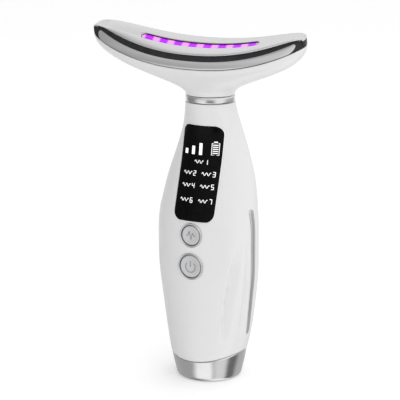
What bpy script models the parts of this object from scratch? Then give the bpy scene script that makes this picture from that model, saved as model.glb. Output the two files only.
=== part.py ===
"""Handheld neck and face massager: a crescent head on a swan neck, with a heated contact plate,
LED light window, side electrodes, display, two buttons, battery, vibration motor and charging port.

Lengths are in millimetres and become metres when a mesh is made. +Z is up, the display faces -Y, and
the origin is the middle of the flat base. The head has a frame of its own: u is across (+X), v runs
front to back and w up, leaning forward by HEAD_TILT.
"""

import math

import bmesh
import bpy
from mathutils import Matrix, Vector

MM = 0.001
GAP = 0.3

# Driving dimensions of the handle
CAP_TOP = 11.4
HANDLE_BOTTOM = 11.7
SEAM_WAVE = 1.65
SEAM_FADE = 26.0
HANDLE_TOP = 127.4
WALL = 2.0
HANDLE_SIDES = 44

# Height, half width, half depth and centre y of the grip's oval sections
HANDLE_SECTIONS = [
    (0.0, 15.1, 15.1, 0.0),
    (11.4, 17.5, 17.5, 0.0),
    (24.0, 20.1, 17.9, 0.3),
    (38.0, 22.3, 17.8, 0.0),
    (50.0, 23.8, 17.6, -0.6),
    (62.0, 24.2, 17.2, -1.0),
    (74.0, 24.1, 16.5, -0.9),
    (85.0, 22.7, 15.1, 0.7),
    (95.0, 20.6, 13.7, 2.2),
    (105.0, 17.4, 12.3, 3.1),
    (115.0, 14.1, 11.2, 2.9),
    (122.0, 12.3, 10.9, 1.7),
    (128.0, 11.2, 11.0, 0.6),
]

# Neck and trim ring
NECK_Y = 0.6
NECK_RADIUS = 11.05
RING_BOTTOM = 127.7
RING_TOP = 130.5
COUPLER_RADIUS = 7.4

# Driving dimensions of the head
HEAD_BOTTOM = 130.8
HEAD_ORIGIN = (0.0, -9.6, 145.75)
HEAD_TILT = math.radians(10.6)
HALF_LENGTH = 52.2
FRONT_DEPTH = 10.2
REAR_DEPTH = 13.2
REAR_RISE = 0.15
SQUARENESS = 2.4
RIM_W = 0.2
TIP_RISE = 11.2
RISE_POWER = 2.2
BAND_HEIGHT = 5.8
BAND_TIP_HEIGHT = 3.0
BAND_TAPER = 1.2
BAND_END = 51.6
FRONT_LEAN = (2.8, 2.4)
REAR_LEAN = 1.2
PLATE_HEIGHT = 7.5
PLATE_EDGE = 0.45
PLATE_THICKNESS = 1.0
SLOT_V = 1.6
SLOT_HALF_LENGTH = 29.0
SLOT_HALF_WIDTH = 2.5
HEAD_SIDES = 52

# Display and buttons
LENS_HALF_WIDTH = 10.1
LENS_BOTTOM = 75.6
LENS_TOP = 117.6
LENS_CORNER = 3.6
LENS_THICKNESS = 1.2
MODE_Z = 69.3
POWER_Z = 55.1
MODE_RADIUS = 5.4
POWER_RADIUS = 6.1
BUTTON_TRAVEL = 0.5

# Side strips
STRIP_TOP = 80.4
STRIP_BOTTOM = 21.6
STRIP_HALF_WIDTH = 1.35
STRIP_TOP_Y = -3.5
STRIP_SWEEP = 3.8

# Flutes: edge angle forward of the side at the bottom, sweep of that angle at the top, width, depth
FLUTES = [(49.0, 14.0, 15.0, 1.2), (22.0, 0.0, 12.0, 1.0)]
FLUTE_TOP = 67.0
FLUTE_BOTTOM = 20.0

# Inside
BOARD_FRONT = -10.3
BOARD_BACK = -9.1
SWITCH_TOP = -13.2
BATTERY_RADIUS = 7.0
BATTERY_Y = 3.2
DISPLAY_TILT = math.radians(14.0)
MOTOR_CENTRE = (0.0, -5.5, 140.5)
MOTOR_RADIUS = 4.0
LED_COUNT = 8
LED_PITCH = 7.0
PORT_Y = 5.5
SCREW_X = 8.5
SCREW_Y = -3.5

# Colours: name, colour, roughness, metallic
FINISHES = {
    "white_abs": ((0.86, 0.86, 0.87), 0.32, 0.0),
    "plated_silver": ((0.72, 0.72, 0.74), 0.22, 1.0),
    "chrome": ((0.82, 0.82, 0.83), 0.12, 1.0),
    "steel": ((0.62, 0.62, 0.63), 0.35, 1.0),
    "black_gloss": ((0.03, 0.03, 0.032), 0.18, 0.0),
    "light_window": ((0.86, 0.5, 0.95), 0.25, 0.0),
    "led": ((0.7, 0.1, 0.95), 0.3, 0.0),
    "button_silver": ((0.62, 0.62, 0.63), 0.35, 0.8),
    "grey_plastic": ((0.35, 0.35, 0.36), 0.5, 0.0),
    "board_green": ((0.05, 0.25, 0.12), 0.5, 0.0),
    "chip_black": ((0.04, 0.04, 0.04), 0.45, 0.0),
    "battery_blue": ((0.1, 0.25, 0.6), 0.4, 0.0),
    "heater_amber": ((0.75, 0.4, 0.1), 0.4, 0.0),
    "rubber_grey": ((0.2, 0.2, 0.2), 0.8, 0.0),
    "copper": ((0.8, 0.45, 0.25), 0.3, 1.0),
    "cable_white": ((0.8, 0.8, 0.8), 0.5, 0.0),
}


# ---------------------------------------------------------------- making meshes


def material(name):
    found = bpy.data.materials.get(name)
    if found:
        return found
    colour, roughness, metallic = FINISHES[name]
    made = bpy.data.materials.new(name)
    made.use_nodes = True
    shader = made.node_tree.nodes["Principled BSDF"]
    shader.inputs["Base Color"].default_value = (*colour, 1.0)
    shader.inputs["Roughness"].default_value = roughness
    shader.inputs["Metallic"].default_value = metallic
    return made


def mesh_object(name, points, faces, finish, origin=(0.0, 0.0, 0.0), helper=False):
    """One object from points in millimetres; its origin goes to the given point."""
    mesh = bpy.data.meshes.new(name)
    shift = Vector(origin)
    mesh.from_pydata([(Vector(p) - shift) * MM for p in points], [], faces)
    work = bmesh.new()
    work.from_mesh(mesh)
    bmesh.ops.remove_doubles(work, verts=work.verts, dist=0.00001)
    bmesh.ops.recalc_face_normals(work, faces=work.faces)
    work.to_mesh(mesh)
    work.free()
    mesh.shade_smooth()
    mesh.set_sharp_from_angle(angle=math.radians(35))
    made = bpy.data.objects.new(name, mesh)
    made.location = shift * MM
    bpy.context.scene.collection.objects.link(made)
    if helper:
        made.hide_render = True
        made.display_type = "WIRE"
    else:
        mesh.materials.append(material(finish))
    return made


def loft_faces(rows, columns, closed_rows=False):
    """Quads between rows of points, each row closed on itself; closed_rows joins last to first."""
    faces = []
    for i in range(rows if closed_rows else rows - 1):
        below, above = i * columns, (i + 1) % rows * columns
        for j in range(columns):
            k = (j + 1) % columns
            faces.append((below + j, below + k, above + k, above + j))
    return faces


def ring_solid(name, rows, finish, **more):
    """A solid ring: each row is a closed loop, and the last row joins the first."""
    points = [p for row in rows for p in row]
    return mesh_object(name, points, loft_faces(len(rows), len(rows[0]), True), finish, **more)


def capped_loft(name, rows, finish, **more):
    """A solid between a flat first row and a flat last row."""
    points = [p for row in rows for p in row]
    count = len(rows[0])
    faces = loft_faces(len(rows), count)
    faces.append(tuple(range(count)))
    faces.append(tuple(range((len(rows) - 1) * count, len(rows) * count)))
    return mesh_object(name, points, faces, finish, **more)


def grid_solid(name, outside, inside, finish, **more):
    """A thick patch: two matching grids of points, joined along their four edges."""
    rows, columns = len(outside), len(outside[0])
    points = [p for row in outside for p in row] + [p for row in inside for p in row]
    under = rows * columns
    faces = []
    for i in range(rows - 1):
        for j in range(columns - 1):
            a = i * columns + j
            b = a + 1
            c = b + columns
            d = a + columns
            faces.append((a, b, c, d))
            faces.append((d + under, c + under, b + under, a + under))
    rim = [j for j in range(columns)]
    rim += [i * columns + columns - 1 for i in range(1, rows)]
    rim += [(rows - 1) * columns + j for j in range(columns - 2, -1, -1)]
    rim += [i * columns for i in range(rows - 2, 0, -1)]
    for a, b in zip(rim, rim[1:] + rim[:1]):
        faces.append((b, a, a + under, b + under))
    return mesh_object(name, points, faces, finish, **more)


def turned_rows(profile, centre, axis, sides, shift=None):
    """Loops of a turned piece's points, with the facets half a step off the axes; shift lifts points."""
    turn = {"Z": Matrix(),
            "Y": Matrix.Rotation(-math.pi / 2, 4, "X"),
            "X": Matrix.Rotation(math.pi / 2, 4, "Y")}[axis]
    angles = [2 * math.pi * (i + 0.5) / sides for i in range(sides)]
    lift = shift or (lambda angle, height: 0.0)
    middle = Vector(centre)
    rows = []
    for radius, height in profile:
        loop = [Vector((radius * math.cos(a), radius * math.sin(a), height + lift(a, height))) for a in angles]
        rows.append([turn @ point + middle for point in loop])
    return rows


def turned(name, profile, finish, centre=(0.0, 0.0, 0.0), axis="Z", sides=32, **more):
    """A turned piece: profile is (radius, height along the axis) from end to end, capped at both ends."""
    return capped_loft(name, turned_rows(profile, centre, axis, sides), finish, **more)


def turned_ring(name, profile, finish, centre=(0.0, 0.0, 0.0), axis="Z", sides=32, shift=None, **more):
    """A turned ring: the closed profile (radius, height) never reaches the axis."""
    return ring_solid(name, turned_rows(profile, centre, axis, sides, shift), finish, **more)


def box(name, low, high, finish, turn=None, pivot=(0.0, 0.0, 0.0), **more):
    """A box between two corners, turned about a pivot if a matrix is given."""
    corners = [(x, y, z) for z in (low[2], high[2]) for x, y in
               ((low[0], low[1]), (high[0], low[1]), (high[0], high[1]), (low[0], high[1]))]
    if turn:
        corners = [turn @ (Vector(p) - Vector(pivot)) + Vector(pivot) for p in corners]
    faces = [(0, 3, 2, 1), (4, 5, 6, 7), (0, 1, 5, 4), (1, 2, 6, 5), (2, 3, 7, 6), (3, 0, 4, 7)]
    return mesh_object(name, corners, faces, finish, **more)


def boolean(target, other, operation):
    change = target.modifiers.new(operation.title(), "BOOLEAN")
    change.operation = operation
    change.object = other
    change.solver = "EXACT"
    return target


def cut(target, *cutters):
    for cutter in cutters:
        boolean(target, cutter, "DIFFERENCE")
    return target


def wire(name, route, radius, finish):
    """A lead through its route's points, on a smooth curve sampled along its length."""
    samples = []
    spots = [Vector(p) for p in route]
    spots = [spots[0] * 2 - spots[1]] + spots + [spots[-1] * 2 - spots[-2]]
    for a, b, c, d in zip(spots, spots[1:], spots[2:], spots[3:]):
        for step in range(3):
            t = step / 3
            samples.append(0.5 * ((2 * b) + (c - a) * t + (2 * a - 5 * b + 4 * c - d) * t ** 2
                                  + (3 * b - a - 3 * c + d) * t ** 3))
    samples.append(spots[-2])
    curve = bpy.data.curves.new(name, "CURVE")
    curve.dimensions = "3D"
    curve.bevel_depth = radius * MM
    curve.bevel_resolution = 1
    curve.use_fill_caps = True
    line = curve.splines.new("POLY")
    line.points.add(len(samples) - 1)
    for point, place in zip(line.points, samples):
        point.co = (*(place * MM), 1.0)
    made = bpy.data.objects.new(name, curve)
    curve.materials.append(material(finish))
    bpy.context.scene.collection.objects.link(made)
    return made


# ---------------------------------------------------------------- shape of the handle


def section(z):
    """Half width, half depth and centre y of the grip at a height, on a smooth curve through the sections."""
    rows = HANDLE_SECTIONS
    i = max(1, min(len(rows) - 1, next((n for n, r in enumerate(rows) if r[0] >= z), len(rows) - 1)))
    (z0, *a), (z1, *b) = rows[i - 1], rows[i]
    before, after = rows[max(0, i - 2)], rows[min(len(rows) - 1, i + 1)]
    t, span = (z - z0) / (z1 - z0), z1 - z0
    values = []
    for n in range(3):
        slope0 = (b[n] - before[n + 1]) / (z1 - before[0])
        slope1 = (after[n + 1] - a[n]) / (after[0] - z0)
        values.append((2 * t ** 3 - 3 * t ** 2 + 1) * a[n] + (t ** 3 - 2 * t ** 2 + t) * span * slope0
                      + (3 * t ** 2 - 2 * t ** 3) * b[n] + (t ** 3 - t ** 2) * span * slope1)
    return values


def flute_depth(angle, z):
    """How far the flutes cut in at an angle round the grip (0 at +X, 90 degrees at the back)."""
    forward = math.degrees(math.asin(-math.sin(angle)))
    if not FLUTE_BOTTOM < z < FLUTE_TOP or forward < 0:
        return 0.0
    along = (z - FLUTE_BOTTOM) / (FLUTE_TOP - FLUTE_BOTTOM)
    fade = math.sin(math.pi * along ** 0.8) ** 0.8
    depth = 0.0
    for edge, sweep, width, most in FLUTES:
        here = edge - sweep * max(0.0, along - 0.2) ** 2 / 0.64 - forward
        if -3 < here < width:
            shape = (here + 3) / 6 if here < 3 else (width - here) / (width - 3)
            depth = max(depth, most * fade * shape * shape * (3 - 2 * shape))
    return depth


def seam_lift(angle):
    """The seam between cap and grip is low at the front and back and high at the sides."""
    return SEAM_WAVE * math.cos(2 * angle)


def handle_point(angle, z, inset=0.0):
    half_width, half_depth, centre = section(z)
    groove = flute_depth(angle, z) if inset < WALL else 0.0
    across = half_width - inset - groove
    deep = half_depth - inset - groove
    wave = seam_lift(angle) * max(0.0, (SEAM_FADE - z) / (SEAM_FADE - HANDLE_BOTTOM)) ** 2
    return Vector((across * math.cos(angle), centre + deep * math.sin(angle), z + wave))


def handle_row(z, inset=0.0, sides=HANDLE_SIDES):
    return [handle_point(2 * math.pi * i / sides, z, inset) for i in range(sides)]


def front_y(z):
    """The grip's surface on its front line."""
    _, half_depth, centre = section(z)
    return centre - half_depth


def spaced(low, high, count):
    return [low + (high - low) * i / (count - 1) for i in range(count)]


def wall_band(name, low, high, outside, inside, count):
    """A helper: the part of the grip's wall between two insets and two heights."""
    heights = spaced(low, high, count)
    rows = [handle_row(z, outside) for z in heights] + [handle_row(z, inside) for z in reversed(heights)]
    return ring_solid(name, rows, None, helper=True)


def rounded_outline(half_width, low, high, corner, steps=4):
    """Outline of an upright rounded rectangle, as (x, z) points."""
    points = []
    corners = ((half_width, high, 0), (-half_width, high, 90), (-half_width, low, 180), (half_width, low, 270))
    for x, z, start in corners:
        cx = x - math.copysign(corner, x)
        cz = z - corner if z == high else z + corner
        for i in range(steps + 1):
            a = math.radians(start + 90 * i / steps)
            points.append((cx + corner * math.cos(a), cz + corner * math.sin(a)))
    return points


def lens_prism(name, grow, back):
    """A helper that takes the lens's outline through the front wall."""
    outline = rounded_outline(LENS_HALF_WIDTH + grow, LENS_BOTTOM - grow, LENS_TOP + grow, LENS_CORNER + grow)
    rows = [[(x, y, z) for x, z in outline] for y in (-30.0, back)]
    return capped_loft(name, rows, None, helper=True)


def strip_y(z):
    """Centre line of a side strip, which sweeps forward towards its top."""
    return STRIP_TOP_Y + STRIP_SWEEP * ((STRIP_TOP - z) / (STRIP_TOP - STRIP_BOTTOM)) ** 2.5


def strip_prism(name, side, grow):
    """A helper that takes a side strip's outline through the wall on one side."""
    half = STRIP_HALF_WIDTH + grow
    heights = spaced(STRIP_BOTTOM + STRIP_HALF_WIDTH, STRIP_TOP - STRIP_HALF_WIDTH, 13)
    outline = [(strip_y(z) + half, z) for z in heights]
    for i in range(1, 6):
        a = math.pi * i / 6
        outline.append((strip_y(heights[-1]) + half * math.cos(a), heights[-1] + half * math.sin(a)))
    outline += [(strip_y(z) - half, z) for z in reversed(heights)]
    for i in range(1, 6):
        a = math.pi * i / 6
        outline.append((strip_y(heights[0]) - half * math.cos(a), heights[0] - half * math.sin(a)))
    rows = [[(side * x, y, z) for y, z in outline] for x in (12.0, 30.0)]
    return capped_loft(name, rows, None, helper=True)


# ---------------------------------------------------------------- shape of the head


def head_world(u, v, w):
    x, y, z = HEAD_ORIGIN
    c, s = math.cos(HEAD_TILT), math.sin(HEAD_TILT)
    return Vector((x + u, y + v * c - w * s, z + v * s + w * c))


def rim_w(share):
    """Height of the shell's rim at a share of the half length."""
    return RIM_W + TIP_RISE * share ** RISE_POWER


def fade(share):
    """1 along the head, falling to 0 just before a tip."""
    return max(0.0, 1 - (share * HALF_LENGTH / BAND_END) ** 14) ** 0.55


def band_w(share):
    """Height of the dark band between the rim and the plate."""
    full = BAND_HEIGHT - BAND_TAPER * share ** 4
    return BAND_TIP_HEIGHT + (full - BAND_TIP_HEIGHT) * fade(share)


def lean(share, side, front):
    """How far the plate's edge stands in from the rim."""
    if front:
        return (FRONT_LEAN[0] + FRONT_LEAN[1] * share ** 2) * fade(share)
    return REAR_LEAN * fade(share) * side


def head_ring(angle, up=0.0, inset=0.0, lift=0.0):
    """A point of the head's outline: up is 0 on the shell's rim and 1 on the plate's edge."""
    c, s = math.cos(angle), math.sin(angle)
    share = abs(c) ** (2 / SQUARENESS)
    side = abs(s) ** (2 / SQUARENESS)
    depth = FRONT_DEPTH if s < 0 else REAR_DEPTH
    v = max((depth - inset) * side - up * lean(share, side, s < 0), 0.25 * depth * side)
    v = math.copysign(v, s)
    u = (HALF_LENGTH - inset) * share
    along = min(1.0, u / HALF_LENGTH)
    w = rim_w(along) + up * band_w(along) + REAR_RISE * max(0.0, v) + lift
    return Vector((math.copysign(u, c), v, w))


def ring_angles(count=HEAD_SIDES):
    return [2 * math.pi * (i + 0.5) / count for i in range(count)]


def plate_w(u, v):
    """Height of the contact plate's top at a place."""
    share = min(1.0, abs(u) / HALF_LENGTH)
    side = (1 - share ** SQUARENESS) ** (1 / SQUARENESS)
    spine = SLOT_V * side
    front = v < spine
    depth = FRONT_DEPTH if front else REAR_DEPTH
    edge = max(depth * side - lean(share, side, front), 0.25 * depth * side)
    reach = abs(v - spine) / max(0.01, edge + spine if front else edge - spine)
    drop = (1 - min(1.0, reach) ** (2.2 if front else 3.5)) ** 0.8
    low = band_w(share) + PLATE_EDGE
    crown = max(0.0, PLATE_HEIGHT * (1 - share ** 6) ** 0.5 - low)
    return rim_w(share) + low + crown * drop + REAR_RISE * max(0.0, v)


def slot_point(angle, half_length, half_width):
    """A long slot with round ends, at the angles of the head's outline."""
    straight = half_length - half_width
    end = math.radians(16)
    c, s = math.cos(angle), math.sin(angle)
    from_tip = math.atan2(abs(s), abs(c))
    if from_tip < end:
        turn = from_tip / end * math.pi / 2
        u, v = straight + half_width * math.cos(turn), half_width * math.sin(turn)
    else:
        u, v = straight * (math.pi / 2 - from_tip) / (math.pi / 2 - end), half_width
    return math.copysign(u, c), SLOT_V + math.copysign(v, s)


def between(angle, share, inset, half_length, half_width, lift):
    """A point of the plate between its edge (share 0) and its slot (share 1)."""
    edge = head_ring(angle, 1.0, inset)
    u, v = slot_point(angle, half_length, half_width)
    u, v = edge.x + (u - edge.x) * share, edge.y + (v - edge.y) * share
    return head_world(u, v, plate_w(u, v) + lift)


def hull_row(t, inset):
    """A loop of the head's shell: t is 0 at the neck and 1 at the rim."""
    row = []
    for a in ring_angles():
        radius = NECK_RADIUS - inset
        foot = Vector((radius * math.cos(a), NECK_Y + radius * math.sin(a), HEAD_BOTTOM))
        ring = head_ring(a, 0.0, inset, -0.15)
        top = head_world(*ring)
        tip = abs(math.cos(a)) ** 1.6
        pull = 4.5 + 8.0 * tip - 0.8 * inset * tip
        below = head_world(ring.x, ring.y, ring.z - pull)
        above = foot + Vector((0.0, 0.0, 5.0 + 1.5 * tip + 0.4 * inset))
        row.append((1 - t) ** 3 * foot + 3 * (1 - t) ** 2 * t * above
                   + 3 * (1 - t) * t ** 2 * below + t ** 3 * top)
    return row


def electrode_grid(sign, low, high, grow, out, columns=25, rows=3):
    """A grid over the head's front (sign -1) or back wall, between two heights of the band."""
    grid = []
    for i in range(rows):
        up = low + (high - low) * i / (rows - 1)
        reach = (46.4 + 1.8 * (up - low) / (high - low) + grow) / HALF_LENGTH
        line = []
        for j in range(columns):
            x = -1 + 2 * j / (columns - 1)
            x = math.sin(x * math.pi / 2) * 0.35 + x * 0.65
            c = math.copysign(min(1.0, abs(x) * reach) ** (SQUARENESS / 2), x)
            angle = sign * math.acos(c)
            bulge = 0.35 * math.sin(math.pi * up)
            line.append(head_world(*head_ring(angle, up, -out - bulge * abs(math.sin(angle)))))
        grid.append(line)
    return grid


# ---------------------------------------------------------------- the pieces


def make_handle():
    heights = spaced(HANDLE_BOTTOM, HANDLE_TOP, 19)
    outer = [handle_row(z) for z in heights]
    inner = []
    turns = [2 * math.pi * i / HANDLE_SIDES for i in range(HANDLE_SIDES)]
    radius = COUPLER_RADIUS + GAP
    for z in (HANDLE_TOP, 121.8):
        inner.append([(radius * math.cos(a), NECK_Y + radius * math.sin(a), z) for a in turns])
    for z in (118.5, 111.0, 102.0, 90.0, 76.0, 60.0, 42.0, 26.0, HANDLE_BOTTOM):
        inner.append(handle_row(z, WALL))
    shell = ring_solid("handle_shell", outer + inner, "white_abs")

    pocket = wall_band("lens_pocket_band", 70.0, 122.0, -1.5, LENS_THICKNESS + GAP, 9)
    boolean(pocket, lens_prism("lens_pocket_prism", GAP, 1.0), "INTERSECT")
    window = lens_prism("lens_window_prism", -2.2, 1.0)
    cut(shell, pocket, window)

    for z, radius, tag in ((MODE_Z, MODE_RADIUS, "mode"), (POWER_Z, POWER_RADIUS, "power")):
        face = front_y(z)
        seat = turned(f"{tag}_seat", [(radius + GAP, -8.0), (radius + GAP, 1.5 + GAP)], None,
                      (0.0, face, z), "Y", helper=True)
        bore = turned(f"{tag}_bore", [(radius - 0.65, -8.0), (radius - 0.65, 8.0)], None,
                      (0.0, face, z), "Y", helper=True)
        cut(shell, seat, bore)

    lens = wall_band("display_lens_band", 70.0, 122.0, 0.1, LENS_THICKNESS, 9)
    lens.name = "display_lens"
    lens.hide_render = False
    lens.display_type = "TEXTURED"
    lens.data.materials.append(material("black_gloss"))
    boolean(lens, lens_prism("lens_prism", 0.0, 1.0), "INTERSECT")

    for side, tag in ((-1, "left"), (1, "right")):
        groove = wall_band(f"{tag}_strip_groove", 15.0, 84.0, -1.5, 1.3, 10)
        boolean(groove, strip_prism(f"{tag}_strip_pocket", side, GAP), "INTERSECT")
        hole = turned(f"{tag}_contact_hole", [(1.2, -7.0), (1.2, 7.0)], None,
                      (side * 21.0, strip_y(48.0), 48.0), "X", 12, helper=True)
        cut(shell, groove, hole)
        strip = wall_band(f"{tag}_strip_band", 16.0, 83.0, 0.05, 1.0, 10)
        strip.name = f"side_strip_{tag}"
        strip.hide_render = False
        strip.display_type = "TEXTURED"
        strip.data.materials.append(material("steel"))
        boolean(strip, strip_prism(f"{tag}_strip_prism", side, 0.0), "INTERSECT")


def make_buttons():
    for z, radius, tag in ((MODE_Z, MODE_RADIUS, "mode"), (POWER_Z, POWER_RADIUS, "power")):
        face = front_y(z)
        turned_ring(f"{tag}_bezel",
                    [(radius, 1.5), (radius, -0.1), (radius - 0.2, -0.3), (radius - 0.45, -0.3),
                     (radius - 0.65, -0.1), (radius - 0.65, 1.5)],
                    "chrome", (0.0, face, z), "Y", 26)
        cap = radius - 0.65 - GAP
        turned_ring(f"{tag}_button",
                    [(0.01, 0.05), (cap - 1.0, 0.05), (cap - 0.7, -0.15), (cap - 0.3, -0.1), (cap, 0.3),
                     (cap, 3.5), (cap + 0.85, 3.5), (cap + 0.85, 4.1), (cap - 1.2, 4.1), (cap - 1.2, 1.6),
                     (0.01, 1.6)],
                    "button_silver", (0.0, face, z), "Y", 26, origin=(0.0, face, z))
        box(f"{tag}_switch_body", (-2.1, SWITCH_TOP, z - 2.1), (2.1, BOARD_FRONT - GAP, z + 2.1), "chip_black")
        stem_tip = face + 1.6 + GAP
        stem_end = SWITCH_TOP - BUTTON_TRAVEL - 0.2
        turned(f"{tag}_switch_stem", [(1.5, 0.0), (1.5, stem_end - stem_tip)], "grey_plastic",
               (0.0, stem_tip, z), "Y", 16, origin=(0.0, stem_tip, z))


def cap_wave(angle, height):
    """Lifts the cap's upper part to follow the seam."""
    return seam_lift(angle) * max(0.0, (height - 5.0) / (CAP_TOP - 5.0)) ** 2


def make_base():
    rim = 17.45
    turned_ring("end_cap",
                [(12.8, 0.3), (13.7, 0.3), (14.7, 0.8), (15.2, 2.0), (15.9, 5.0), (16.75, 8.0),
                 (rim, CAP_TOP), (15.9, CAP_TOP), (14.4, 5.0), (13.9, 2.6), (13.6, 1.8), (12.8, 1.8)],
                "chrome", sides=44, shift=cap_wave)
    plate = turned("base_plate", [(12.1, 0.0), (12.5, 0.3), (12.5, 2.1), (13.3, 2.1), (13.3, 3.3)],
                   "grey_plastic", sides=28)
    port_hole = box("port_hole", (-4.9, PORT_Y - 2.0, -1.0), (4.9, PORT_Y + 2.0, 5.0), None, helper=True)
    cut(plate, port_hole)
    for x, tag in ((-SCREW_X, "left"), (SCREW_X, "right")):
        place = (x, SCREW_Y, 0.0)
        sink = turned(f"{tag}_screw_sink", [(2.6, -1.0), (2.6, 2.2)], None, place, sides=12, helper=True)
        hole = turned(f"{tag}_screw_hole", [(1.35, -1.0), (1.35, 6.0)], None, place, sides=12, helper=True)
        cut(plate, sink, hole)
        turned(f"base_screw_{tag}", [(2.2, 0.5), (2.2, 1.5), (1.05, 1.9), (1.05, 15.5), (0.5, 16.2)],
               "steel", place, sides=12)
    turned_ring("base_seal", [(13.7, 10.0), (15.1, 10.0), (15.1, 11.9), (13.7, 11.9)], "rubber_grey", sides=32)

    shell = box("charging_port", (-4.47, PORT_Y - 1.6, 1.2), (4.47, PORT_Y + 1.6, 8.6), "steel")
    hollow = box("port_hollow", (-4.17, PORT_Y - 1.3, 0.5), (4.17, PORT_Y + 1.3, 7.8), None, helper=True)
    cut(shell, hollow)
    box("charging_tongue", (-3.4, PORT_Y - 0.35, 2.2), (3.4, PORT_Y + 0.35, 7.5), "chip_black")
    box("charging_board", (-8.0, -0.5, 8.9), (8.0, 10.2, 9.9), "board_green")


def make_inside():
    sled = box("chassis", (-11.0, -7.6, 13.0), (11.0, -6.2, 77.0), "grey_plastic")
    half_width, half_depth, centre = section(13.0)
    wide, deep = half_width - WALL - 0.6, half_depth - WALL - 0.6
    rows = [[(wide * math.cos(a), centre + deep * math.sin(a), z)
             for a in [2 * math.pi * i / 28 for i in range(28)]] for z in (12.2, 14.4)]
    flange = capped_loft("chassis_flange", rows, None, helper=True)
    boolean(sled, flange, "UNION")
    for z in (32.0, 50.0, 68.0):
        rib = box(f"chassis_rib_{z:.0f}", (-9.6, -6.9, z - 1.0), (9.6, BATTERY_Y, z + 1.0), None, helper=True)
        boolean(sled, rib, "UNION")
    for x, tag in ((-SCREW_X, "left"), (SCREW_X, "right")):
        boss = turned(f"{tag}_boss", [(2.6, 3.8), (2.6, 13.5)], None, (x, SCREW_Y, 0.0), sides=12, helper=True)
        boolean(sled, boss, "UNION")
    bay = turned("battery_bay", [(BATTERY_RADIUS + 0.35, 14.9), (BATTERY_RADIUS + 0.35, 90.0)], None,
                 (0.0, BATTERY_Y, 0.0), sides=20, helper=True)
    cut(sled, bay)
    for x, tag in ((-SCREW_X, "left"), (SCREW_X, "right")):
        place = (x, SCREW_Y, 0.0)
        pilot = turned(f"{tag}_pilot", [(1.35, 0.0), (1.35, 18.0)], None, place, sides=12, helper=True)
        cut(sled, pilot)
    cut(sled, box("lead_notch", (-3.0, 9.0, 11.0), (3.0, 17.0, 16.0), None, helper=True))

    box("main_board", (-9.0, BOARD_FRONT, 22.0), (9.0, BOARD_BACK, 76.3), "board_green")
    box("control_chip", (-3.5, BOARD_FRONT - 1.3, 40.0), (3.5, BOARD_FRONT - GAP, 47.0), "chip_black")
    turned("boost_coil", [(2.9, 0.0), (2.9, 0.7), (2.2, 1.0), (2.2, 2.6), (2.9, 2.9), (2.9, 3.6)], "copper",
           (0.0, BOARD_FRONT - GAP - 3.6, 31.0), "Y", 20)
    turned("battery",
           [(6.6, 24.0), (BATTERY_RADIUS, 24.4), (BATTERY_RADIUS, 73.6), (6.6, 74.0), (2.6, 74.0), (2.6, 75.2)],
           "battery_blue", (0.0, BATTERY_Y, 0.0), sides=24)

    tilt = Matrix.Rotation(-DISPLAY_TILT, 3, "X")
    pivot = (0.0, -10.4, 79.0)
    box("display_board", (-6.0, -10.4, 79.0), (6.0, -9.4, 113.5), "board_green", tilt, pivot)
    box("display_guide", (-5.6, -13.0, 80.5), (5.6, -10.4 - GAP, 112.5), "cable_white", tilt, pivot)

    for side, tag in ((-1, "left"), (1, "right")):
        y = strip_y(48.0)
        path = [(21.6, 48.0 + 2.0), (19.2, 48.0 + 2.0), (14.2, 44.0), (13.8, 44.0), (13.8, 43.5), (14.4, 43.5),
                (19.5, 48.0 + 1.5), (21.6, 48.0 + 1.5)]
        half_width, half_depth, centre = section(48.0)
        reach = half_width - 1.0 - GAP - 0.25
        rows = [[(side * min(x, reach), y + dy, z - 1.9) for x, z in path] for dy in (-0.7, 0.7)]
        capped_loft(f"strip_contact_{tag}", rows, "copper")


def make_neck():
    turned_ring("neck_ring",
                [(COUPLER_RADIUS + GAP, RING_BOTTOM), (11.05, RING_BOTTOM), (11.2, RING_BOTTOM + 0.2),
                 (11.15, RING_TOP - 0.2), (11.0, RING_TOP), (COUPLER_RADIUS + GAP, RING_TOP)],
                "chrome", (0.0, NECK_Y, 0.0), sides=36)
    turned_ring("neck_coupler",
                [(5.4, 122.5), (COUPLER_RADIUS, 122.5), (COUPLER_RADIUS, RING_TOP + GAP), (8.4, RING_TOP + GAP),
                 (8.4, 132.6), (5.4, 132.6)],
                "grey_plastic", (0.0, NECK_Y, 0.0), sides=24)


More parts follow.
